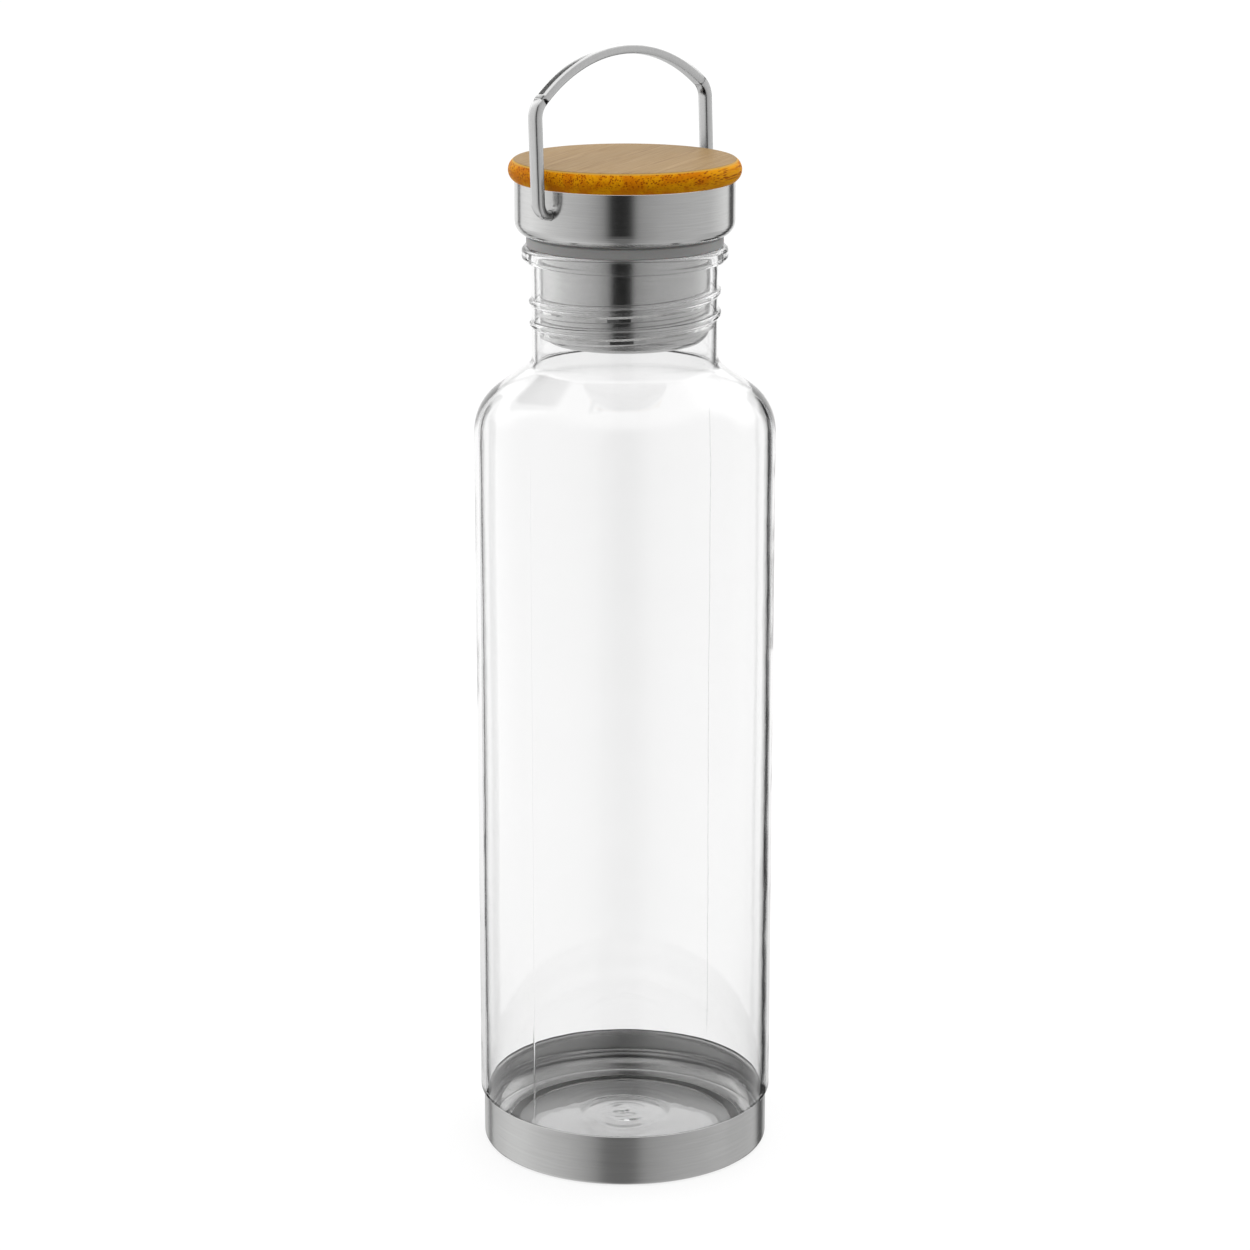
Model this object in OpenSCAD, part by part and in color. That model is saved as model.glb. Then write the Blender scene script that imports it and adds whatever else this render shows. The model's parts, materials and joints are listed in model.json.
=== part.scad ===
// Clear water bottle: one-piece moulded body in a steel base cup, with a steel and
// bamboo screw lid and a swinging bail handle.
// The standing face is z = 0, the bottle's axis is Z, and the handle pivots about X.

/* [Body] */
// Outer radius of the straight wall
body_r = 36.5; // [35.5:0.5:39]
// Wall thickness of the body
wall = 1.8; // [1.6:0.1:2.2]
// Height at which the straight wall ends and the shoulder starts
shoulder_z = 182.2; // [150:1:184]
// Radius of the shoulder's outer corner
shoulder_arc_r = 12.7; // [11:0.1:13]
// Slope of the shoulder, in degrees from horizontal
shoulder_slope = 36; // [34:1:38]
// Radius of the hollow curve between shoulder and neck
neck_fillet_r = 2.5; // [1.5:0.1:5]
// Height of the moulded centre of the floor above its foot ring
push_up_h = 1.8; // [1:0.1:4]

/* [Neck] */
// Outer radius of the neck
neck_r = 22.5; // [22.3:0.1:22.7]
// Inner radius of the neck
mouth_r = 21.5; // [21.45:0.05:21.6]
// Height of the top of the lip
lip_z = 227.2; // [226:0.2:229]
// Outer radius of the bead round the lip
bead_r = 24.7; // [24:0.1:25.2]
// Height of the bead
bead_h = 3.6; // [3:0.1:4]

/* [Thread] */
// Rise of the thread in one turn
pitch = 5.3; // [5:0.1:5.6]
// Height at which the neck's thread crosses the 0 degree line on its first turn
thread_z = 211.8; // [211:0.1:212.5]
// Inner radius of the neck's thread
thread_in_r = 20.8; // [20.75:0.05:20.9]
// Outer radius of the raised line that the thread makes outside the neck
thread_out_r = 23.1; // [22.8:0.1:23.3]
// Outer radius of the thread rolled into the plug
plug_thread_r = 21.3; // [21.2:0.05:21.3]

/* [Base cup] */
// How far the steel base cup's outside is set in from the straight wall's
cup_inset = 0.83; // [0.75:0.01:0.95]
// Height of the steel base cup
cup_h = 12.86; // [12:0.02:13]
// Thickness of all steel sheet
sheet = 0.5; // [0.4:0.05:0.6]

/* [Lid] */
// Outer radius of the steel lid shell
shell_r = 26.3; // [26:0.1:26.4]
// Height of the lid shell
shell_h = 13; // [12.5:0.1:13.5]
// Radius of the shell's lower outer edge
shell_edge_r = 3.5; // [3:0.1:4]
// Thickness of the seal ring between lip and lid
seal_h = 2.6; // [2.2:0.1:3]
// Outer radius of the steel plug
plug_r = 20.45; // [20.3:0.05:20.45]
// Depth of the plug below the lip
plug_depth = 23.2; // [22:0.2:24]
// Radius of the plug's bottom edge
plug_edge_r = 4; // [3:0.2:5]
// Thickness of the bamboo disc
bamboo_h = 5.1; // [4.5:0.1:6]
// Radius of the bamboo disc's flat top
bamboo_flat_r = 26.3; // [25.5:0.1:26.5]
// How far the bamboo disc's edge bulges beyond its flat top
bamboo_bulge = 1.5; // [1:0.1:1.6]

/* [Handle] */
// Distance of each leg's centre from the bottle's axis
leg_x = 30.2; // [29.8:0.1:31]
// Height of the handle's pivot above the lid shell's lower face
pivot_up = 7.4; // [7:0.1:8]
// Height of the handle's top above its pivot
handle_h = 37.6; // [36:0.2:42]
// Outer radius of the handle's top arc
arc_outer_r = 46.5; // [43:0.5:48]
// Width of the handle's flat bar
bar_w = 3.15; // [2.8:0.05:3.6]
// Thickness of the handle's flat bar
bar_t = 2.5; // [2.4:0.05:2.6]
// Radius of the round pivot at each end of the handle
pin_r = 1.2; // [1:0.05:1.25]
// Lean of the handle from upright as it stands, in degrees
handle_lean = 2.1; // [0:0.1:4]

/* [Hidden] */
$fn = 96;

// Body
cup_r = body_r - cup_inset;            // outer radius of the base cup
slip = 0.1;                            // gap of a sliding or glued fit
cut = 1;                               // cutting bodies reach this far beyond what they cut
lap_in = 0.5;                          // joined shapes reach this far into each other
glue = 0.3;                            // thickness of an adhesive ring
foot_z = sheet + glue;                 // underside of the body's foot ring
foot_r = cup_r - sheet - slip;         // outer radius of the body inside the cup
foot_edge_r = 5;                       // outer corner of the foot
foot_ring_r = 27;                      // inner edge of the foot ring
floor_t = 2.2;                         // floor thickness
heel_r = 6.5;                          // inner corner between wall and floor
step_edge_r = 0.6;                     // lower edge of the wall above the cup
lip_edge_r = 0.8;
bead_edge_r = 1.2;
bead_fillet = 0.5;
cup_edge_r = 1;

// Thread
neck_rib_half_w = [0.5, 1.0, 1.4, 0.7]; // half widths from the inner to the outer crest
plug_rib_half_w = [1.0, 0.4];
plug_thread_lag = 2.35;                // plug thread below the neck's thread
thread_step = 7.5;                     // degrees between sections
neck_thread_start = -250;
neck_thread_end = 345;
plug_thread_start = -230;
plug_thread_end = 300;
thread_fade = 30;                      // degrees over which a thread rises out of its wall
thread_least = 0.05;                   // share of the thread's rise left at its two ends
thread_root_in = 0.1;                  // the thread's widest sections lie this far inside the wall

// Lid
shell_z = lip_z + seal_h;              // lower face of the shell
shell_top_z = shell_z + shell_h;
collar_step = 0.35;                    // the plug's collar stands this far outside its wall
collar_r = plug_r + collar_step;
collar_z = lip_z - bead_h;
flange_r = 22.5;                       // the plug's top flange, which rests on the shell
shell_hole_r = collar_r + 0.05;        // hole in the shell's lower face
core_r = shell_r - sheet - slip;
core_z = shell_z + 2 * sheet + slip;
core_top_z = shell_top_z - glue;
barrel_r = plug_r - sheet - slip;
barrel_wall = 2.2;
barrel_z = lip_z - plug_depth + sheet + slip;
barrel_floor_z = barrel_z + barrel_wall;
spigot_hole_r = barrel_r - barrel_wall;
core_rib_w = 1.6;
core_rib_drop = 1.5;                   // ribs stop this far below the core's top
spigot_h = 2;
seal_in_r = collar_r + 0.3;
seal_out_r = 23.6;
seal_edge = 0.3;                       // chamfer of the seal's outer edges
bamboo_z = shell_top_z;

// Handle
pivot_z = shell_z + pivot_up;
bore_clear = 0.08;                     // radial clearance of the pivots in their holes
pin_tip_x = 20.5;
pin_chamfer = 0.3;
pin_pocket = 0.8;                      // room beyond each pivot's tip
foot_bend_r = 3.6;                     // centreline radius of the bend above each pivot
corner_bend_r = 5.2;                   // centreline radius of the two top corners
bar_edge_r = 0.9;
bend_grow = 0.02;                      // bends are this much thicker all round than the straight bar
lap = 0.3;                             // length of each straight run that reaches into the next bend
arc_r = arc_outer_r - bar_t / 2;
arc_z = handle_h - arc_outer_r;        // heights on the handle are from its pivot axis
corner_x = leg_x - corner_bend_r;
corner_z = arc_z + sqrt(pow(arc_r - corner_bend_r, 2) - pow(corner_x, 2));
corner_angle = atan2(corner_z - arc_z, corner_x);

// Points along an arc of radius r about [x, y], from angle a to angle b
function arc(x, y, r, a, b, n = 10) =
    [for (i = [0:n]) let (t = a + (b - a) * i / n) [x + r * cos(t), y + r * sin(t)]];

// Outline of a shoulder, from the wall of radius r_low up to the neck of radius r_neck
function shoulder(r_low, r_neck, r_corner, r_hollow) =
    let (
        s = shoulder_slope,
        end_r = r_low - r_corner * (1 - sin(s)),
        end_z = shoulder_z + r_corner * cos(s),
        hollow_r = r_neck + r_hollow * (1 - sin(s)),
        hollow_z = end_z + (end_r - hollow_r) * tan(s) + r_hollow * cos(s)
    )
    concat(
        arc(r_low - r_corner, shoulder_z, r_corner, 0, 90 - s),
        arc(r_neck + r_hollow, hollow_z, r_hollow, 270 - s, 180)
    );

// Shallow dome of the floor, from its centre out to the foot ring
function floor_curve(z, n = 14) =
    [for (i = [0:n]) let (t = i / n) [foot_ring_r * t, z + push_up_h * (1 - t * t)]];

function reversed(list) = [for (i = [len(list) - 1:-1:0]) list[i]];

// One cross-section of a thread at angle a, which fades towards the root radius as the thread ends
function thread_section(radii, half_w, root, a, z, fade) =
    let (
        up = [for (i = [0:len(radii) - 1]) [root + (radii[i] - root) * fade, half_w[i]]],
        down = [for (i = [len(radii) - 1:-1:0]) [up[i][0], -half_w[i]]]
    )
    [for (p = concat(up, down)) [p[0] * cos(a), p[0] * sin(a), z + p[1]]];

// Thread swept along a right-hand helix that passes height z at angle 0
module thread(radii, half_w, root, z, from, to) {
    steps = ceil((to - from) / thread_step);
    side = 2 * len(radii);
    sections = [for (i = [0:steps])
        let (
            a = from + (to - from) * i / steps,
            fade = max(thread_least, min(1, (a - from) / thread_fade, (to - a) / thread_fade))
        )
        thread_section(radii, half_w, root, a, z + pitch * a / 360, fade)];
    skin = [for (i = [0:steps - 1], j = [0:side - 1])
        let (k = (j + 1) % side, here = i * side, next = here + side)
        each [[here + j, next + k, here + k], [here + j, next + j, next + k]]];
    first_cap = [for (j = [1:side - 2]) [0, j, j + 1]];
    last_cap = [for (j = [1:side - 2]) [steps * side, steps * side + j + 1, steps * side + j]];
    polyhedron([for (s = sections) each s], concat(skin, first_cap, last_cap), convexity = 10);
}

module bottle_body() {
    bead_z = lip_z - bead_h;
    underside = floor_curve(foot_z);
    floor_top = floor_curve(foot_z + floor_t);
    inner_r = body_r - wall;
    outline = concat(
        underside,
        arc(foot_r - foot_edge_r, foot_z + foot_edge_r, foot_edge_r, -90, 0, 8),
        [[foot_r, cup_h]],
        arc(body_r - step_edge_r, cup_h + step_edge_r, step_edge_r, -90, 0, 6),
        shoulder(body_r, neck_r, shoulder_arc_r, neck_fillet_r),
        [[neck_r, bead_z - bead_fillet], [neck_r + bead_fillet, bead_z]],
        arc(bead_r - bead_edge_r, bead_z + bead_edge_r, bead_edge_r, -90, 0, 6),
        arc(bead_r - bead_edge_r, lip_z - bead_edge_r, bead_edge_r, 0, 90, 6),
        arc(mouth_r + lip_edge_r, lip_z - lip_edge_r, lip_edge_r, 90, 180, 6),
        reversed(shoulder(inner_r, mouth_r, shoulder_arc_r, neck_fillet_r + neck_r - mouth_r)),
        arc(inner_r - heel_r, foot_z + floor_t + heel_r, heel_r, 0, -90, 8),
        reversed(floor_top)
    );
    color("azure", 0.35) union() {
        rotate_extrude() polygon(outline);
        thread([thread_in_r, mouth_r + thread_root_in, neck_r - thread_root_in, thread_out_r],
            neck_rib_half_w, (mouth_r + neck_r) / 2, thread_z, neck_thread_start, neck_thread_end);
    }
}

module base_cup() {
    inner_r = cup_r - sheet;
    color("silver") rotate_extrude() polygon(concat(
        [[0, 0]],
        arc(cup_r - cup_edge_r, cup_edge_r, cup_edge_r, -90, 0, 6),
        [[cup_r, cup_h], [inner_r, cup_h]],
        arc(inner_r - cup_edge_r + sheet, cup_edge_r, cup_edge_r - sheet, 0, -90, 5),
        [[0, sheet]]
    ));
}

module base_adhesive() {
    color("white", 0.6) translate([0, 0, sheet]) difference() {
        cylinder(r = foot_r - foot_edge_r, h = glue);
        translate([0, 0, -cut]) cylinder(r = foot_ring_r + slip, h = glue + 2 * cut);
    }
}

module seal_ring() {
    color("darkgray") rotate_extrude() polygon([
        [seal_in_r, lip_z],
        [seal_out_r - seal_edge, lip_z],
        [seal_out_r, lip_z + seal_edge],
        [seal_out_r, shell_z - seal_edge],
        [seal_out_r - seal_edge, shell_z],
        [seal_in_r, shell_z]
    ]);
}

// The two holes along X that the handle's ends turn in, from x = tip outwards
module pivot_holes(tip) {
    for (side = [0, 180])
        rotate([0, 0, side]) translate([tip, 0, pivot_z]) rotate([0, 90, 0])
            cylinder(r = pin_r + bore_clear, h = shell_r, $fn = 48);
}

module lid_shell() {
    inner_r = shell_r - sheet;
    inner_edge_r = shell_edge_r - sheet;
    color("silver") difference() {
        rotate_extrude() polygon(concat(
            [[shell_hole_r, shell_z]],
            arc(shell_r - shell_edge_r, shell_z + shell_edge_r, shell_edge_r, -90, 0),
            [[shell_r, shell_top_z], [inner_r, shell_top_z]],
            arc(inner_r - inner_edge_r, shell_z + shell_edge_r, inner_edge_r, 0, -90),
            [[shell_hole_r, shell_z + sheet]]
        ));
        pivot_holes(inner_r - cut);
    }
}

module lid_core() {
    edge_r = shell_edge_r - sheet;
    rib_reach = spigot_hole_r + lap_in;
    color("dimgray") difference() {
        union() {
            difference() {
                rotate_extrude() polygon(concat(
                    [[0, barrel_z]],
                    arc(barrel_r - plug_edge_r, barrel_z + plug_edge_r, plug_edge_r, -90, 0, 8),
                    [[barrel_r, core_z]],
                    arc(core_r - edge_r, core_z + edge_r, edge_r, -90, 0, 8),
                    [[core_r, core_top_z], [0, core_top_z]]
                ));
                translate([0, 0, barrel_floor_z])
                    cylinder(r = spigot_hole_r, h = core_top_z - barrel_floor_z + cut);
            }
            for (a = [45, 135]) rotate([0, 0, a])
                translate([-rib_reach, -core_rib_w / 2, barrel_floor_z - lap_in])
                    cube([2 * rib_reach, core_rib_w, core_top_z - barrel_floor_z - core_rib_drop]);
        }
        pivot_holes(pin_tip_x - pin_pocket);
    }
}

module plug_shell() {
    inner_r = plug_r - sheet;
    bottom_z = lip_z - plug_depth;
    color("lightgray") union() {
        rotate_extrude() polygon(concat(
            [[0, bottom_z]],
            arc(plug_r - plug_edge_r, bottom_z + plug_edge_r, plug_edge_r, -90, 0),
            [
                [plug_r, collar_z - collar_step],
                [collar_r, collar_z],
                [collar_r, shell_z + sheet],
                [flange_r, shell_z + sheet],
                [flange_r, shell_z + 2 * sheet],
                [inner_r, shell_z + 2 * sheet]
            ],
            arc(inner_r - plug_edge_r + sheet, bottom_z + plug_edge_r, plug_edge_r - sheet, 0, -90),
            [[0, bottom_z + sheet]]
        ));
        thread([plug_r - sheet / 2, plug_thread_r], plug_rib_half_w,
            plug_r - sheet / 2, thread_z - plug_thread_lag, plug_thread_start, plug_thread_end);
    }
}

module bamboo_adhesive() {
    color("white", 0.6) translate([0, 0, core_top_z]) difference() {
        cylinder(r = core_r - glue, h = glue);
        translate([0, 0, -cut]) cylinder(r = spigot_hole_r + glue, h = glue + 2 * cut);
    }
}

module bamboo_disc() {
    half = bamboo_h / 2;
    edge_r = (half * half + bamboo_bulge * bamboo_bulge) / (2 * bamboo_bulge);
    sweep = asin(half / edge_r);
    spigot_r = spigot_hole_r - slip;
    color("goldenrod") rotate_extrude() polygon(concat(
        [[0, bamboo_z - spigot_h], [spigot_r, bamboo_z - spigot_h], [spigot_r, bamboo_z]],
        arc(bamboo_flat_r + bamboo_bulge - edge_r, bamboo_z + half, edge_r, -sweep, sweep, 12),
        [[0, bamboo_z + bamboo_h]]
    ));
}

// Cross-section of the flat bar, grown on every side: thickness along x, width along y
module bar_section(grow = 0) {
    half_t = bar_t / 2 + grow;
    half_w = bar_w / 2 + grow;
    square([2 * half_t, 2 * (half_w - bar_edge_r)], center = true);
    square([2 * (half_t - bar_edge_r), 2 * half_w], center = true);
    for (x = [-1, 1], y = [-1, 1])
        translate([x * (half_t - bar_edge_r), y * (half_w - bar_edge_r)])
            circle(r = bar_edge_r, $fn = 24);
}

// Bar bent to radius r about [x, z] in the XZ plane, from angle a to angle b
module bent_bar(x, z, r, a, b, grow = 0) {
    translate([x, 0, z]) rotate([90, 0, 0])
        rotate_extrude(start = a, angle = b - a) translate([r, 0]) bar_section(grow);
}

module handle_side() {
    foot_x = leg_x - foot_bend_r;
    translate([pin_tip_x, 0, 0]) rotate([0, 90, 0]) {
        cylinder(r1 = pin_r - pin_chamfer, r2 = pin_r, h = pin_chamfer, $fn = 48);
        translate([0, 0, pin_chamfer])
            cylinder(r = pin_r, h = foot_x + lap - pin_tip_x - pin_chamfer, $fn = 48);
    }
    bent_bar(foot_x, foot_bend_r, foot_bend_r, -90, 0, bend_grow);
    translate([leg_x, 0, foot_bend_r - lap])
        linear_extrude(corner_z - foot_bend_r + 2 * lap) bar_section();
    bent_bar(corner_x, corner_z, corner_bend_r, 0, corner_angle, bend_grow);
}

module handle() {
    from = corner_angle - lap / arc_r * 180 / PI;
    color("silver") translate([0, 0, pivot_z]) rotate([-handle_lean, 0, 0]) {
        handle_side();
        mirror([1, 0, 0]) handle_side();
        bent_bar(0, arc_z, arc_r, from, 180 - from);
    }
}

bottle_body();
base_cup();
base_adhesive();
seal_ring();
lid_shell();
lid_core();
plug_shell();
bamboo_adhesive();
bamboo_disc();
handle();
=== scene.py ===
"""Clear water bottle with a steel and bamboo screw lid: looks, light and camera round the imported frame.

Lengths are in millimetres until they become mesh coordinates or light sizes, which are in metres.
"""

import json
import math

import bpy
import numpy as np
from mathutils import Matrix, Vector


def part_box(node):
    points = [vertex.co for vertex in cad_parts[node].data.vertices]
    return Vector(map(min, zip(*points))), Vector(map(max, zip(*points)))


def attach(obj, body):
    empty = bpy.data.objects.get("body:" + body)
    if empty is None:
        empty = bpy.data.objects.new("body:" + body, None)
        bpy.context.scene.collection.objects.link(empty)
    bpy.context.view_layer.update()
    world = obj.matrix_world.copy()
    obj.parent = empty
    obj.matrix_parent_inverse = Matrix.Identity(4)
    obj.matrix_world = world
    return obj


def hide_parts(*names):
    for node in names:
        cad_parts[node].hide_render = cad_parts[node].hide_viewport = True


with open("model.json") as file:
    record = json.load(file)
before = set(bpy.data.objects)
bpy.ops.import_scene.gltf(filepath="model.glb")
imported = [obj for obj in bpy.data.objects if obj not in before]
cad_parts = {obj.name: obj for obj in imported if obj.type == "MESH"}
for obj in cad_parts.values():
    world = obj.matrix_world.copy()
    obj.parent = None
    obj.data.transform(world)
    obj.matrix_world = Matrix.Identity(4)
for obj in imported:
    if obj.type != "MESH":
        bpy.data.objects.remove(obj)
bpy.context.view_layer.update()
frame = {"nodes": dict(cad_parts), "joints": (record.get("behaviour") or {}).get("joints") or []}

MM = 0.001


def node_box(node):
    """Lowest and highest corner of a CAD node, in millimetres."""
    low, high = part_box(node)
    return low / MM, high / MM


# ---------------------------------------------------------------- dimensions

BODY_LOW, BODY_HIGH = node_box("bottle_body")
CUP_HIGH = node_box("base_cup")[1]
SHELL_HIGH = node_box("lid_shell")[1]
BAMBOO_LOW, BAMBOO_HIGH = node_box("bamboo_disc")

BODY_R = BODY_HIGH.x
FOOT_Z = BODY_LOW.z
LIP_Z = BODY_HIGH.z
CUP_H = CUP_HIGH.z
FOOT_R = CUP_HIGH.x - 0.6            # the cup's sheet and the gap inside it
WALL = 1.8
FLOOR_T = 2.2
FOOT_EDGE_R = 5
FOOT_RING_R = 27
PUSH_UP_H = 1.8
HEEL_R = 6.5
STEP_EDGE_R = 0.6
RIM_GAP = 0.08                       # air between the cup's rim and the wall above it
SHOULDER_Z = 182.2
SHOULDER_ARC_R = 12.7
SHOULDER_SLOPE = 36
NECK_R = 22.5
MOUTH_R = 21.5
NECK_FILLET_R = 2.5
NECK_Z = 203                         # the neck is straight above this
BEAD_R = 24.7
BEAD_H = 3.6
BEAD_EDGE_R = 1.2
LIP_EDGE_R = 0.8

THREAD_Z = 211.8                     # height of the thread at 0 degrees
THREAD_PITCH = 5.3
THREAD_START = -250                  # degrees
THREAD_END = 345
THREAD_FADE = 30
RIB_OUT = 0.6                        # rise of the thread outside the neck
RIB_IN = 0.3                         # and inside it
RIB_HALF_W = 0.85                    # half width at the rib's root, and at its crest out and in
CREST_OUT_HALF_W = 0.2
CREST_IN_HALF_W = 0.1

SEAM_ANGLES = (4, 184)               # the mould's parting lines, degrees round the axis
SEAM_HALF_W = 0.16
SEAM_RISE = 0.07
RIPPLE_DEPTH = 0.07
# Moulding ripples: waves round the wall, and each one's twist in radians per millimetre of height
RIPPLES = ((2, 0.021), (3, -0.034), (5, 0.05), (1, 0.083), (4, 0.11), (7, -0.07))
GATE_R = 6.5                         # moulding gate mark in the middle of the floor
DISH_R = 10.5                        # shallow ring round it

SPIGOT_R = 16.95                     # underside of the bamboo disc
BAMBOO_BULGE = 1.5
BAMBOO_CORNER_R = 0.3

PIVOT = next(j for j in frame["joints"] if j["name"] == "handle_swing")["pos_m"]
PIVOT_Z = PIVOT[2] / MM
HANDLE_LEAN = 2.1                    # degrees
LEG_X = 30.2
BAR_T = 2.5
BAR_W = 3.15
BAR_EDGE_R = 0.9
PIN_R = 1.2
PIN_TIP_X = 20.5
PIN_CHAMFER = 0.3
FOOT_BEND_R = 3.6
CORNER_BEND_R = 5.2
HANDLE_H = 37.6
ARC_OUTER_R = 46.5


# ------------------------------------------------------------------- helpers


def arc(x, y, r, a, b, n=12):
    """Points along an arc of radius r about (x, y), from angle a to angle b in degrees."""
    turns = np.radians(np.linspace(a, b, n + 1))
    return [(x + r * math.cos(t), y + r * math.sin(t)) for t in turns]


def line(start, end, step):
    """Points between two ends, which are left out, about step apart."""
    n = max(1, round(math.dist(start, end) / step))
    return [tuple(np.array(start) + (np.array(end) - start) * i / n) for i in range(1, n)]


def smooth(t):
    """Rises from 0 to 1 as t does, level at both ends."""
    t = np.clip(t, 0, 1)
    return t * t * (3 - 2 * t)


def new_object(name, points, faces, material):
    """A smooth-shaded mesh object from points in millimetres."""
    mesh = bpy.data.meshes.new(name)
    mesh.from_pydata([tuple(p) for p in np.asarray(points) * MM], [], faces)
    mesh.materials.append(material)
    mesh.shade_smooth()
    mesh.update()
    obj = bpy.data.objects.new(name, mesh)
    bpy.context.scene.collection.objects.link(obj)
    return obj


def turned(name, outline, angles, material, lift=None):
    """Solid turned about Z from an outline of (r, z) that starts and ends on the axis.
    lift(r, z, angle, normal) gives how far each point stands off the outline, in arrays."""
    outline = np.array(outline, float)
    step = np.gradient(outline, axis=0)
    step /= np.linalg.norm(step, axis=1)[:, None]
    ring = outline[1:-1]
    normal = np.stack([step[1:-1, 1], -step[1:-1, 0]], axis=1)
    r, a = np.meshgrid(ring[:, 0], np.radians(angles), indexing="ij")
    z = np.repeat(ring[:, 1:], len(angles), axis=1)
    if lift is not None:
        rise = lift(r, z, a, normal)
        r = r + rise * normal[:, :1]
        z = z + rise * normal[:, 1:]
    points = np.stack([r * np.cos(a), r * np.sin(a), z], axis=2).reshape(-1, 3)
    rows, columns = r.shape
    first, last = rows * columns, rows * columns + 1
    points = np.vstack([points, [0, 0, outline[0, 1]], [0, 0, outline[-1, 1]]])
    faces = []
    for j in range(columns):
        k = (j + 1) % columns
        faces.append((first, k, j))
        for i in range(rows - 1):
            here, above = i * columns, (i + 1) * columns
            faces.append((here + j, here + k, above + k, above + j))
        faces.append((last, (rows - 1) * columns + j, (rows - 1) * columns + k))
    return new_object(name, points, faces, material)


class Nodes:
    """Short calls for building one node tree."""

    def __init__(self, tree):
        self.tree = tree
        tree.nodes.clear()

    def add(self, kind, inputs=None, **settings):
        node = self.tree.nodes.new(kind)
        for name, value in settings.items():
            setattr(node, name, value)
        for name, value in (inputs or {}).items():
            self.set(node.inputs[name], value)
        return node

    def set(self, socket, value):
        """Links an output to the socket, or gives the socket a constant."""
        if isinstance(value, bpy.types.NodeSocket):
            self.tree.links.new(value, socket)
        else:
            socket.default_value = value

    def math(self, operation, a, b=None, c=None, clamp=False):
        given = {i: v for i, v in enumerate((a, b, c)) if v is not None}
        node = self.add("ShaderNodeMath", given, operation=operation, use_clamp=clamp)
        return node.outputs[0]

    def step(self, value, low, high):
        """0 below low, 1 above high, and smooth between them."""
        given = {"Value": value, "From Min": low, "From Max": high}
        node = self.add("ShaderNodeMapRange", given, interpolation_type="SMOOTHSTEP")
        return node.outputs["Result"]

    def mix(self, factor, a, b):
        """Colour a at factor 0 and colour b at factor 1."""
        node = self.add("ShaderNodeMix", {0: factor, 6: a, 7: b}, data_type="RGBA")
        return node.outputs[2]

    def xyz(self, vector):
        return self.add("ShaderNodeSeparateXYZ", {0: vector}).outputs

    def vector(self, x, y, z):
        return self.add("ShaderNodeCombineXYZ", {0: x, 1: y, 2: z}).outputs[0]

    def noise(self, vector, scale, detail=2.0, roughness=0.5):
        given = {"Vector": vector, "Scale": scale, "Detail": detail, "Roughness": roughness}
        return self.add("ShaderNodeTexNoise", given).outputs["Fac"]

    def place(self):
        """The point on the object in millimetres."""
        position = self.add("ShaderNodeTexCoord").outputs["Object"]
        scaled = self.add("ShaderNodeVectorMath", {0: position, "Scale": 1 / MM}, operation="SCALE")
        return scaled.outputs[0]

    def unreflected(self):
        """1 where a view ray arrives straight or only refracted, and 0 after any bounce."""
        path = self.add("ShaderNodeLightPath").outputs
        through = self.math("ADD", path["Is Camera Ray"], path["Is Transmission Ray"], clamp=True)
        return self.math("MULTIPLY", through, self.math("LESS_THAN", path["Glossy Depth"], 0.5))

    def bump(self, height, depth, strength=1.0):
        """Normal bent by a height of 0 to 1 that stands for depth millimetres."""
        given = {"Height": height, "Distance": depth * MM, "Strength": strength}
        return self.add("ShaderNodeBump", given).outputs["Normal"]


def principled(name, **constants):
    """A material with one Principled shader, its node helper and the shader."""
    material = bpy.data.materials.new(name)
    material.use_nodes = True
    nodes = Nodes(material.node_tree)
    shader = nodes.add("ShaderNodeBsdfPrincipled")
    for socket, value in constants.items():
        shader.inputs[socket.replace("_", " ")].default_value = value
    output = nodes.add("ShaderNodeOutputMaterial")
    nodes.set(output.inputs["Surface"], shader.outputs[0])
    return material, nodes, shader


# ----------------------------------------------------------------- materials


def clear_plastic():
    """Clear copolyester: a bright skin with faint flow ripples."""
    material, nodes, shader = principled(
        "clear_plastic", Base_Color=(0.972, 0.972, 0.972, 1), Transmission_Weight=1.0, IOR=1.52
    )
    place = nodes.place()
    flow = nodes.noise(place, 0.05, 2.0)
    scuff = nodes.noise(place, 0.6, 3.0)
    nodes.set(shader.inputs["Roughness"], nodes.math("MULTIPLY", scuff, 0.02))
    nodes.set(shader.inputs["Normal"], nodes.bump(flow, 0.06))
    return material


BRUSH_LINES = 5.0                    # brush lines per millimetre


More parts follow.
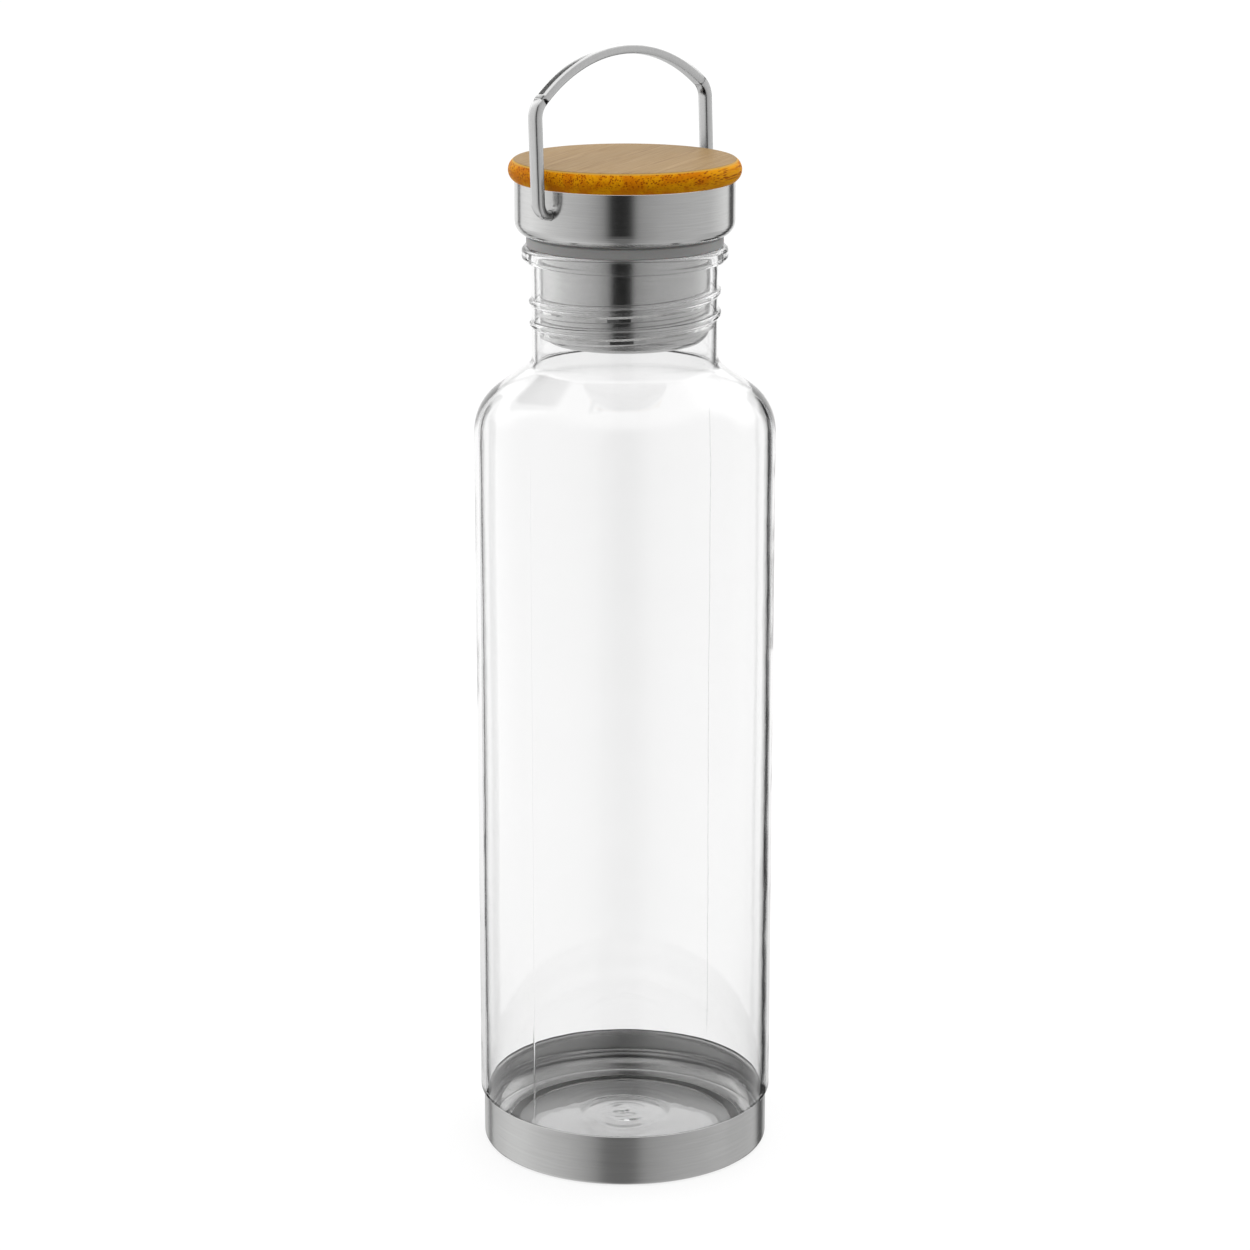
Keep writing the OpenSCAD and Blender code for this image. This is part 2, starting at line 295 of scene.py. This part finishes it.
def brushed_steel(name, roughness, streaks, satin_within):
    """Sheet steel with brush lines that run round the axis, and satin inside a radius."""
    material, nodes, shader = principled(name, Anisotropic=0.75)
    x, y, z = nodes.xyz(nodes.place())
    squares = nodes.math("MULTIPLY_ADD", x, x, nodes.math("MULTIPLY", y, y))
    radius = nodes.math("SQRT", squares)
    along = nodes.math("MULTIPLY", nodes.math("ADD", radius, z), BRUSH_LINES)
    round_x = nodes.math("MULTIPLY", nodes.math("DIVIDE", x, radius), 2.5)
    round_y = nodes.math("MULTIPLY", nodes.math("DIVIDE", y, radius), 2.5)
    brush = nodes.noise(nodes.vector(round_x, round_y, along), 1.0, 4.0, 0.6)
    cloud = nodes.noise(nodes.place(), 0.12, 2.0)
    tone = nodes.math("ADD", nodes.math("MULTIPLY", brush, 0.7), nodes.math("MULTIPLY", cloud, 0.3))
    dark = (0.60, 0.60, 0.595, 1)
    light = (0.66, 0.66, 0.655, 1)
    polished = nodes.mix(nodes.step(tone, 0.3, 0.7), dark, light)
    spread = nodes.math("MULTIPLY_ADD", brush, streaks, roughness)
    satin = nodes.step(radius, satin_within + 0.5, satin_within - 0.5)
    nodes.set(shader.inputs["Base Color"], nodes.mix(satin, polished, (0.9, 0.9, 0.9, 1)))
    nodes.set(shader.inputs["Metallic"], nodes.math("MULTIPLY_ADD", satin, -0.6, 1.0))
    nodes.set(shader.inputs["Roughness"], nodes.math("MULTIPLY_ADD", satin, 0.35, spread))
    nodes.set(shader.inputs["Normal"], nodes.bump(brush, 0.002, 0.3))
    tangent = nodes.add("ShaderNodeTangent", direction_type="RADIAL", axis="Z")
    nodes.set(shader.inputs["Tangent"], tangent.outputs[0])
    return material


def drawn_steel():
    """Handle bar: polished along its length, with faint drawing lines."""
    material, nodes, shader = principled("drawn_steel", Metallic=1.0)
    x, y, z = nodes.xyz(nodes.place())
    squeezed = nodes.vector(nodes.math("MULTIPLY", x, 3.0), nodes.math("MULTIPLY", y, 6.0), z)
    lines = nodes.noise(squeezed, 0.6, 3.0)
    tone = nodes.mix(lines, (0.6, 0.6, 0.6, 1), (0.72, 0.72, 0.715, 1))
    nodes.set(shader.inputs["Base Color"], tone)
    nodes.set(shader.inputs["Roughness"], nodes.math("MULTIPLY_ADD", lines, 0.12, 0.16))
    nodes.set(shader.inputs["Normal"], nodes.bump(lines, 0.01, 0.4))
    return material


GRAIN_ANGLE = 18                     # direction of the bamboo's fibres, degrees round the axis


def bamboo():
    """Lacquered bamboo: long fibres one way, with dark bundles of them round the edge, and a painted
    highlight along its top corner.
    """
    material, nodes, shader = principled("lacquered_bamboo", Specular_IOR_Level=0.02)
    given = {"Vector": nodes.place(), "Angle": -math.radians(GRAIN_ANGLE)}
    place = nodes.add("ShaderNodeVectorRotate", given, rotation_type="Z_AXIS")
    along, across, up = nodes.xyz(place.outputs[0])
    stretched = nodes.vector(nodes.math("MULTIPLY", along, 0.035), across, up)
    fibre = nodes.noise(stretched, 2.2, 4.0, 0.65)
    wide = nodes.noise(stretched, 0.35, 2.0)
    cells = nodes.add("ShaderNodeTexVoronoi", {"Vector": stretched, "Scale": 2.1})
    size = nodes.noise(stretched, 0.9, 1.0)
    dot = nodes.math("SUBTRACT", 1.0, nodes.step(cells.outputs["Distance"], 0.22, 0.5))
    height = nodes.step(up, BAMBOO_HIGH.z - 4.6, BAMBOO_HIGH.z - 2.2)
    dot = nodes.math("MULTIPLY", nodes.math("MULTIPLY", dot, height), nodes.step(size, 0.2, 0.42))
    edge = nodes.mix(nodes.step(wide, 0.35, 0.65), (0.66, 0.205, 0.002, 1), (0.80, 0.34, 0.003, 1))
    edge = nodes.mix(nodes.step(fibre, 0.45, 0.75), edge, (0.54, 0.155, 0.002, 1))
    edge = nodes.mix(nodes.math("MULTIPLY", dot, 0.85), edge, (0.26, 0.04, 0.002, 1))
    face = nodes.mix(nodes.step(fibre, 0.35, 0.7), (0.385, 0.255, 0.122, 1), (0.25, 0.155, 0.069, 1))
    face = nodes.mix(nodes.step(wide, 0.3, 0.7), face, (0.335, 0.22, 0.102, 1))
    # Painted highlight: a lighter yellow band along the top of the edge, standing in for light caught by
    # the rounded corner
    rim = nodes.step(up, BAMBOO_HIGH.z - 0.5, BAMBOO_HIGH.z - 0.35)
    edge = nodes.mix(rim, edge, (0.62, 0.34, 0.05, 1))
    on_top = nodes.step(up, BAMBOO_HIGH.z - 0.25, BAMBOO_HIGH.z - 0.05)
    nodes.set(shader.inputs["Base Color"], nodes.mix(on_top, edge, face))
    nodes.set(shader.inputs["Roughness"], nodes.math("MULTIPLY_ADD", fibre, 0.25, 0.3))
    nodes.set(shader.inputs["Normal"], nodes.bump(nodes.math("SUBTRACT", fibre, dot), 0.04, 0.6))
    return material


def silicone():
    """Grey translucent seal."""
    material, nodes, shader = principled(
        "grey_silicone", Subsurface_Weight=0.2, Subsurface_Scale=0.001, Specular_IOR_Level=0.35
    )
    speck = nodes.noise(nodes.place(), 2.5, 3.0)
    grey = nodes.mix(speck, (0.40, 0.40, 0.395, 1), (0.48, 0.48, 0.475, 1))
    nodes.set(shader.inputs["Base Color"], grey)
    nodes.set(shader.inputs["Roughness"], nodes.math("MULTIPLY_ADD", speck, 0.2, 0.35))
    nodes.set(shader.inputs["Normal"], nodes.bump(speck, 0.02, 0.3))
    return material


def moulded_plastic():
    """Dark moulding inside the lid."""
    material, nodes, shader = principled("moulded_plastic", Specular_IOR_Level=0.4)
    grain = nodes.noise(nodes.place(), 6.0, 2.0)
    charcoal = nodes.mix(grain, (0.05, 0.05, 0.052, 1), (0.075, 0.075, 0.078, 1))
    nodes.set(shader.inputs["Base Color"], charcoal)
    nodes.set(shader.inputs["Roughness"], nodes.math("MULTIPLY_ADD", grain, 0.15, 0.45))
    nodes.set(shader.inputs["Normal"], nodes.bump(grain, 0.02, 0.4))
    return material


def cured_adhesive():
    """Pale cloudy adhesive."""
    material, nodes, shader = principled("cured_adhesive", Specular_IOR_Level=0.4)
    cloud = nodes.noise(nodes.place(), 0.7, 3.0)
    pale = nodes.mix(cloud, (0.62, 0.61, 0.58, 1), (0.78, 0.77, 0.74, 1))
    nodes.set(shader.inputs["Base Color"], pale)
    nodes.set(shader.inputs["Roughness"], nodes.math("MULTIPLY_ADD", cloud, 0.2, 0.35))
    nodes.set(shader.inputs["Normal"], nodes.bump(cloud, 0.05, 0.5))
    return material


# -------------------------------------------------------------------- pieces


def shoulder(r_low, r_neck, r_corner, r_hollow):
    """Outline from a wall of radius r_low up to a neck of radius r_neck."""
    s = math.radians(SHOULDER_SLOPE)
    end_r = r_low - r_corner * (1 - math.sin(s))
    end_z = SHOULDER_Z + r_corner * math.cos(s)
    hollow_r = r_neck + r_hollow * (1 - math.sin(s))
    hollow_z = end_z + (end_r - hollow_r) * math.tan(s) + r_hollow * math.cos(s)
    corner = arc(r_low - r_corner, SHOULDER_Z, r_corner, 0, 90 - SHOULDER_SLOPE, 18)
    hollow = arc(r_neck + r_hollow, hollow_z, r_hollow, 270 - SHOULDER_SLOPE, 180, 14)
    return corner + line(corner[-1], hollow[0], 1.0) + hollow


def floor_curve(z, n=54):
    """Moulded rise of the floor, from its centre out to the foot ring."""
    ratios = [i / n for i in range(n + 1)]
    return [(FOOT_RING_R * t, z + PUSH_UP_H * (1 - t * t)) for t in ratios]


def body_outline():
    """Half section of the body: underside, outer wall up to the lip, then down the inside."""
    inner_r = BODY_R - WALL
    bead_z = LIP_Z - BEAD_H
    foot = arc(FOOT_R - FOOT_EDGE_R, FOOT_Z + FOOT_EDGE_R, FOOT_EDGE_R, -90, 0, 10)
    step_z = CUP_H + RIM_GAP
    step = arc(BODY_R - STEP_EDGE_R, step_z + STEP_EDGE_R, STEP_EDGE_R, -90, 0, 8)
    outer = shoulder(BODY_R, NECK_R, SHOULDER_ARC_R, NECK_FILLET_R)
    inner = shoulder(inner_r, MOUTH_R, SHOULDER_ARC_R, NECK_FILLET_R + NECK_R - MOUTH_R)[::-1]
    bead_root = (NECK_R, bead_z - 0.3)
    bead = arc(BEAD_R - BEAD_EDGE_R, bead_z + BEAD_EDGE_R, BEAD_EDGE_R, -90, 0, 8)
    bead_top = arc(BEAD_R - BEAD_EDGE_R, LIP_Z - BEAD_EDGE_R, BEAD_EDGE_R, 0, 90, 8)
    lip = arc(MOUTH_R + LIP_EDGE_R, LIP_Z - LIP_EDGE_R, LIP_EDGE_R, 90, 180, 8)
    floor_top = floor_curve(FOOT_Z + FLOOR_T)[::-1]
    heel = arc(inner_r - HEEL_R, FOOT_Z + FLOOR_T + HEEL_R, HEEL_R, 0, -90, 14)
    parts = [
        floor_curve(FOOT_Z),
        line((FOOT_RING_R, FOOT_Z), foot[0], 1.5),
        foot,
        line(foot[-1], (FOOT_R, step_z), 2.0),
        [(FOOT_R, step_z - 0.15), (FOOT_R + 0.15, step_z)],
        step,
        line(step[-1], outer[0], 2.5),
        outer,
        line(outer[-1], bead_root, 0.25),
        [bead_root, (NECK_R + 0.1, bead_z - 0.1), (NECK_R + 0.3, bead_z)],
        bead,
        bead_top,
        lip,
        line(lip[-1], inner[0], 0.25),
        inner,
        line(inner[-1], heel[0], 2.5),
        heel,
        line(heel[-1], floor_top[0], 1.0),
        floor_top,
    ]
    return [point for part in parts for point in part]


def thread_rise(z, a, half_root, half_crest):
    """Share of the thread's full rise at height z and angle a."""
    degrees = np.degrees(a)
    share = np.zeros_like(z)
    for turn in (-1, 0, 1):
        angle = degrees + 360 * turn
        away = np.abs(z - THREAD_Z - THREAD_PITCH * angle / 360)
        ends = np.minimum(angle - THREAD_START, THREAD_END - angle) / THREAD_FADE
        rib = smooth((half_root - away) / (half_root - half_crest)) * smooth(ends)
        share = np.maximum(share, rib)
    return share


def ripple(z, a):
    """Slow uneven waves round and along the wall, between 0 and 1."""
    total = sum(math.cos(i) * np.sin(k * a + m * z + i) for i, (k, m) in enumerate(RIPPLES, 1))
    return 0.5 + total / (2 * len(RIPPLES))


def body_lift(r, z, a, normal):
    """Thread, parting lines, gate mark and moulding ripples on the body."""
    rise = np.zeros_like(r)
    outward = normal[:, :1]
    on_neck = (z > NECK_Z) & (z < LIP_Z - BEAD_H - 1)
    outer_neck = on_neck & (outward > 0.9)
    inner_neck = on_neck & (outward < -0.9)
    rise += np.where(outer_neck, RIB_OUT * thread_rise(z, a, RIB_HALF_W, CREST_OUT_HALF_W), 0)
    rise += np.where(inner_neck, RIB_IN * thread_rise(z, a, RIB_HALF_W, CREST_IN_HALF_W), 0)

    above_cup = z > CUP_H + STEP_EDGE_R
    ease = smooth((z - CUP_H - STEP_EDGE_R) / 3) * smooth((LIP_Z - BEAD_H - 1 - z) / 3)
    outer_wall = above_cup & (outward > 0.2)
    inner_wall = above_cup & (outward < -0.2)
    rise -= np.where(outer_wall, RIPPLE_DEPTH * ease * ripple(z, a), 0)
    rise -= np.where(inner_wall, RIPPLE_DEPTH * ease * ripple(z, a + 1.3), 0)

    for seam in SEAM_ANGLES:
        off = np.abs(np.angle(np.exp(1j * (a - math.radians(seam))))) * r
        line_rise = smooth(1 - off / SEAM_HALF_W)
        rise += np.where(outer_wall & (z < SHOULDER_Z), SEAM_RISE * ease * line_rise, 0)

    floor_top = (normal[:, 1:] > 0.3) & (z < 20)
    swirl = 0.05 * np.sin(3 * a + 0.9 * r) * np.sin(1.7 * r - a)
    gate = (0.1 + swirl) * smooth((GATE_R - r) / 1.2)
    ring = -0.13 * np.exp(-(((r - DISH_R) / 1.1) ** 2))
    rings = 0.008 * smooth((r - 12) / 2) * smooth((22 - r) / 4) * np.cos(r * 2 * math.pi / 3.1)
    rise += np.where(floor_top, gate + ring + rings, 0)
    return rise


def body_angles():
    """Angles round the body, closer together at the parting lines."""
    angles = set(np.arange(0, 360, 1.8))
    for seam in SEAM_ANGLES:
        angles |= {seam + d for d in (-0.4, -0.25, -0.12, 0, 0.12, 0.25, 0.4)}
    return sorted(angles)


def make_body():
    body = turned("clear_bottle", body_outline(), body_angles(), clear_plastic(), body_lift)
    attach(body, "bottle")
    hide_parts("bottle_body")


def make_bamboo():
    low, high = BAMBOO_LOW.z, BAMBOO_HIGH.z
    under_z = SHELL_HIGH.z
    half = (high - under_z) / 2
    flat_r = BAMBOO_HIGH.x - BAMBOO_BULGE
    edge_r = (half * half + BAMBOO_BULGE * BAMBOO_BULGE) / (2 * BAMBOO_BULGE)
    sweep = math.degrees(math.asin(half / edge_r))
    rim = arc(BAMBOO_HIGH.x - edge_r, under_z + half, edge_r, -sweep + 3, sweep - 6, 22)
    outline = [(0, low)]
    outline += line((0, low), (SPIGOT_R, low), 2.0)
    outline += [(SPIGOT_R, low), (SPIGOT_R, under_z)]
    outline += line((SPIGOT_R, under_z), (flat_r - 0.1, under_z), 1.0)
    outline += rim
    corner_r = rim[-1][0] - BAMBOO_CORNER_R - 0.03
    outline += arc(corner_r, high - BAMBOO_CORNER_R, BAMBOO_CORNER_R, 35, 90, 5)
    outline += line((corner_r, high), (0, high), 1.5)
    outline += [(0, high)]
    disc = turned("bamboo_top", outline, np.arange(0, 360, 2.5), bamboo())
    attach(disc, "lid")
    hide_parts("bamboo_disc")
    disc.visible_glossy = False


def bar_section(half_t, half_w, edge_r, n=6):
    """Rounded rectangle in the plane across the bar: (thickness, width) points."""
    corners = [(1, 1, 0), (-1, 1, 90), (-1, -1, 180), (1, -1, 270)]
    return [
        point
        for x, y, start in corners
        for point in arc(x * (half_t - edge_r), y * (half_w - edge_r), edge_r, start, start + 90, n)
    ]


def handle_half():
    """Stations from one pin tip to the top of the handle: (x, z, angle, half_t, half_w, edge_r)."""
    arc_r = ARC_OUTER_R - BAR_T / 2
    arc_z = HANDLE_H - ARC_OUTER_R
    corner_x = LEG_X - CORNER_BEND_R
    corner_z = arc_z + math.sqrt((arc_r - CORNER_BEND_R) ** 2 - corner_x**2)
    corner_angle = math.degrees(math.atan2(corner_z - arc_z, corner_x))
    foot_x = LEG_X - FOOT_BEND_R
    bar = (BAR_T / 2, BAR_W / 2, BAR_EDGE_R)
    stations = []

    def pin(x, radius):
        stations.append((x, 0, -90, radius, radius, radius))

    def bend(x, z, r, start, end, n, sizes):
        for i, angle in enumerate(np.linspace(start, end, n + 1)):
            t = math.radians(angle)
            stations.append((x + r * math.cos(t), z + r * math.sin(t), angle, *sizes(i / n)))

    def growing(t):
        s = float(smooth(t))
        return tuple(PIN_R + (size - PIN_R) * s for size in bar)

    pin(PIN_TIP_X, 0.02)
    pin(PIN_TIP_X, PIN_R - PIN_CHAMFER)
    for x in np.linspace(PIN_TIP_X + PIN_CHAMFER, foot_x - 1, 6):
        pin(x, PIN_R)
    bend(foot_x, FOOT_BEND_R, FOOT_BEND_R, -90, 0, 18, growing)
    for z in np.linspace(FOOT_BEND_R, corner_z, 12)[1:-1]:
        stations.append((LEG_X, z, 0, *bar))
    bend(corner_x, corner_z, CORNER_BEND_R, 0, corner_angle, 14, lambda t: bar)
    bend(0, arc_z, arc_r, corner_angle, 90, 24, lambda t: bar)
    return stations


def make_handle():
    half = handle_half()
    mirrored = [(-x, z, 180 - angle, *size) for x, z, angle, *size in half[-2::-1]]
    lean = -math.radians(HANDLE_LEAN)
    points, faces = [], []
    for x, z, angle, *size in half + mirrored:
        out = (math.cos(math.radians(angle)), math.sin(math.radians(angle)))
        for t, w in bar_section(*size):
            px, py, pz = x + t * out[0], w, z + t * out[1]
            turned_y = py * math.cos(lean) - pz * math.sin(lean)
            turned_z = py * math.sin(lean) + pz * math.cos(lean)
            points.append((px, turned_y, PIVOT_Z + turned_z))
    side = len(bar_section(1, 1, 0.5))
    count = len(points) // side
    for i in range(count - 1):
        for j in range(side):
            k = (j + 1) % side
            here, after = i * side, (i + 1) * side
            faces.append((here + j, after + j, after + k, here + k))
    faces.append(tuple(range(side)))
    faces.append(tuple(range((count - 1) * side, count * side))[::-1])
    handle = new_object("bail_handle", points, faces, drawn_steel())
    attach(handle, "handle")
    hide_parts("handle")


def finish_cad_nodes():
    """Gives each CAD node that stays its own material."""
    cup = brushed_steel("cup_steel", 0.15, 0.05, FOOT_R - FOOT_EDGE_R)
    lid = brushed_steel("lid_steel", 0.12, 0.04, satin_within=-1)
    plastic = moulded_plastic()
    adhesive = cured_adhesive()
    looks = {
        "base_cup": cup,
        "lid_shell": lid,
        "plug_shell": lid,
        "seal_ring": silicone(),
        "lid_core": plastic,
        "base_adhesive": adhesive,
        "bamboo_adhesive": adhesive,
    }
    for node, material in looks.items():
        frame["nodes"][node].material_slots[0].material = material


# -------------------------------------------------------------------- studio

CAMERA_AZIMUTH = -48.4               # degrees
CAMERA_DISTANCE = 0.840              # metres from the bottle's axis
CAMERA_HEIGHT = 0.362
CAMERA_PITCH = 15.24
LENS = 102.1
WHITE = 1.04
SCATTERED_GAIN = 0.9                 # extra light for matt surfaces seen through the clear wall


def make_camera():
    azimuth = math.radians(CAMERA_AZIMUTH)
    data = bpy.data.cameras.new("camera")
    data.lens = LENS
    data.sensor_width = 36
    data.clip_end = 50
    camera = bpy.data.objects.new("camera", data)
    camera.location = (
        CAMERA_DISTANCE * math.sin(azimuth), -CAMERA_DISTANCE * math.cos(azimuth), CAMERA_HEIGHT
    )
    camera.rotation_euler = (math.radians(90 - CAMERA_PITCH), 0, azimuth)
    bpy.context.scene.collection.objects.link(camera)
    bpy.context.scene.camera = camera


# Brightness of the studio round the bottle, by degrees to the right of the first view
STUDIO = (
    (-180, 1.0), (-135, 1.0), (-115, 1.1), (-85, 0.82), (-40, 0.56), (-22, 0.36), (-14, 0.02),
    (6, 0.02), (13, 0.38), (40, 0.53), (100, 0.66), (130, 0.95), (180, 1.0),
)
BACK_LEVEL = 1.7                     # softbox behind, above the horizon
OVERHEAD_LEVEL = 1.2
TABLE_LEVEL = 0.2                    # least brightness below the horizon
LOW_LEVEL_FRONT = 0.98               # studio's strength below the horizon, in front and behind
LOW_LEVEL_BACK = 0.68

# Dark cards: middle and half width, then lowest and highest edge, in degrees
FLAGS = ((147, 9, -45, 10), (-145, 4, -45, 10), (-150, 24, 34, 54))
FLAG_BLUR = 6                        # soft margin beyond a card's lowest and highest edge
FLAG_LEVEL = 0.05                    # share of the light that a card lets by


class Studio(Nodes):
    """The world's nodes, which know each direction's turn and height."""

    def __init__(self, tree):
        super().__init__(tree)
        x, y, self.z = self.xyz(self.add("ShaderNodeTexCoord").outputs["Generated"])
        a = math.radians(CAMERA_AZIMUTH)
        front = self.along(x, math.sin(a), y, -math.cos(a))
        right = self.along(x, math.cos(a), y, math.sin(a))
        self.turn = self.math("ARCTAN2", right, front)

    def along(self, x, kx, y, ky):
        return self.math("ADD", self.math("MULTIPLY", x, kx), self.math("MULTIPLY", y, ky))

    def beside(self, middle, half_width, blur):
        """0 within half_width of a direction, 1 outside it, all in degrees."""
        away = self.math("ABSOLUTE", self.math("SUBTRACT", self.turn, math.radians(middle)))
        return self.step(away, math.radians(half_width - blur), math.radians(half_width + blur))

    def above(self, low, high):
        """0 below the first elevation and 1 above the second, in degrees."""
        return self.step(self.z, math.sin(math.radians(low)), math.sin(math.radians(high)))

    def maximum(self, a, b):
        return self.math("MAXIMUM", a, b)


def make_world():
    """White studio: softboxes either side, behind and overhead, a dark gap in front and dark cards.
    Only bounced rays see it. To all other rays the world is plain white."""
    world = bpy.data.worlds.new("studio")
    bpy.context.scene.world = world
    world.use_nodes = True
    nodes = Studio(world.node_tree)
    round_fraction = nodes.math("MULTIPLY_ADD", nodes.turn, 0.5 / math.pi, 0.5)
    ramp = nodes.add("ShaderNodeValToRGB", {"Fac": round_fraction})
    stops = ramp.color_ramp.elements
    while len(stops) < len(STUDIO):
        stops.new(0.5)
    for stop, (degrees, level) in zip(stops, STUDIO):
        stop.position = 0.5 + degrees / 360
        stop.color = (level, level, level, 1)
    table_glow = nodes.math("MULTIPLY_ADD", nodes.above(-26, -10), -TABLE_LEVEL, TABLE_LEVEL)
    level = nodes.maximum(ramp.outputs["Color"], table_glow)
    loss = LOW_LEVEL_BACK - LOW_LEVEL_FRONT
    low_level = nodes.math("MULTIPLY_ADD", nodes.beside(0, 105, 20), loss, LOW_LEVEL_FRONT)
    level = nodes.math("MULTIPLY", level, nodes.mix(nodes.above(-24, -16), low_level, (1, 1, 1, 1)))
    behind = nodes.math("MULTIPLY", nodes.above(8, 16), nodes.beside(0, 110, 15))
    level = nodes.mix(behind, level, (BACK_LEVEL, BACK_LEVEL, BACK_LEVEL, 1))
    overhead = (OVERHEAD_LEVEL, OVERHEAD_LEVEL, OVERHEAD_LEVEL, 1)
    level = nodes.mix(nodes.above(45, 65), level, overhead)
    for middle, half_width, low, high in FLAGS:
        off_flag = nodes.beside(middle, half_width, half_width / 4)
        off_flag = nodes.maximum(off_flag, nodes.above(high, high + FLAG_BLUR))
        under_flag = nodes.math("SUBTRACT", 1.0, nodes.above(low - FLAG_BLUR, low))
        off_flag = nodes.maximum(off_flag, under_flag)
        passed = nodes.math("MULTIPLY_ADD", off_flag, 1 - FLAG_LEVEL, FLAG_LEVEL)
        level = nodes.math("MULTIPLY", level, passed)
    path = nodes.add("ShaderNodeLightPath")
    scattered = nodes.math("GREATER_THAN", path.outputs["Diffuse Depth"], 0.5)
    white = nodes.math("MULTIPLY_ADD", scattered, SCATTERED_GAIN, WHITE)
    colour = nodes.mix(nodes.unreflected(), level, white)
    background = nodes.add("ShaderNodeBackground", {"Color": colour, "Strength": 1.0})
    output = nodes.add("ShaderNodeOutputWorld")
    nodes.set(output.inputs["Surface"], background.outputs[0])


TABLE_R = 1200
TABLE_DROP = 0.05                    # below the bottle's standing face
TABLE_GLOW = 0.76


def make_floor():
    """Round white table top, which bounced rays and rays from below pass through."""
    turns = [2 * math.pi * i / 96 for i in range(96)]
    points = [(TABLE_R * math.cos(t), TABLE_R * math.sin(t), -TABLE_DROP) for t in turns]
    material = bpy.data.materials.new("white_table")
    material.use_nodes = True
    nodes = Nodes(material.node_tree)
    paper = nodes.noise(nodes.place(), 0.02, 2.0)
    colour = nodes.mix(paper, (0.24, 0.24, 0.24, 1), (0.26, 0.26, 0.26, 1))
    diffuse = nodes.add("ShaderNodeBsdfDiffuse", {"Color": colour})
    glow = nodes.add("ShaderNodeEmission", {"Color": (1, 1, 1, 1), "Strength": TABLE_GLOW})
    lit = nodes.add("ShaderNodeAddShader", {0: diffuse.outputs[0], 1: glow.outputs[0]})
    below = nodes.add("ShaderNodeBsdfTransparent")
    behind = nodes.add("ShaderNodeNewGeometry").outputs["Backfacing"]
    front = nodes.math("SUBTRACT", 1.0, behind)
    shown = nodes.math("MULTIPLY", front, nodes.unreflected())
    both = nodes.add("ShaderNodeMixShader", {0: shown, 1: below.outputs[0], 2: lit.outputs[0]})
    output = nodes.add("ShaderNodeOutputMaterial")
    nodes.set(output.inputs["Surface"], both.outputs[0])
    floor = new_object("table", points, [tuple(range(96))], material)


def make_lights():
    """Large soft overhead light."""
    data = bpy.data.lights.new("overhead", "AREA")
    data.shape = "DISK"
    data.size = 1.4
    data.energy = 9
    light = bpy.data.objects.new("overhead", data)
    light.location = (-0.3, -0.3, 1.6)
    light.visible_camera = False
    light.visible_glossy = False
    light.visible_transmission = False
    bpy.context.scene.collection.objects.link(light)


def set_picture():
    scene = bpy.context.scene
    scene.view_settings.view_transform = "Standard"
    scene.view_settings.look = "None"
    scene.cycles.max_bounces = 24
    scene.cycles.transmission_bounces = 20
    scene.cycles.glossy_bounces = 16
    scene.cycles.diffuse_bounces = 4
    scene.cycles.transparent_max_bounces = 12


make_camera()
make_world()
make_floor()
make_lights()
set_picture()
make_body()
make_bamboo()
make_handle()
finish_cad_nodes()
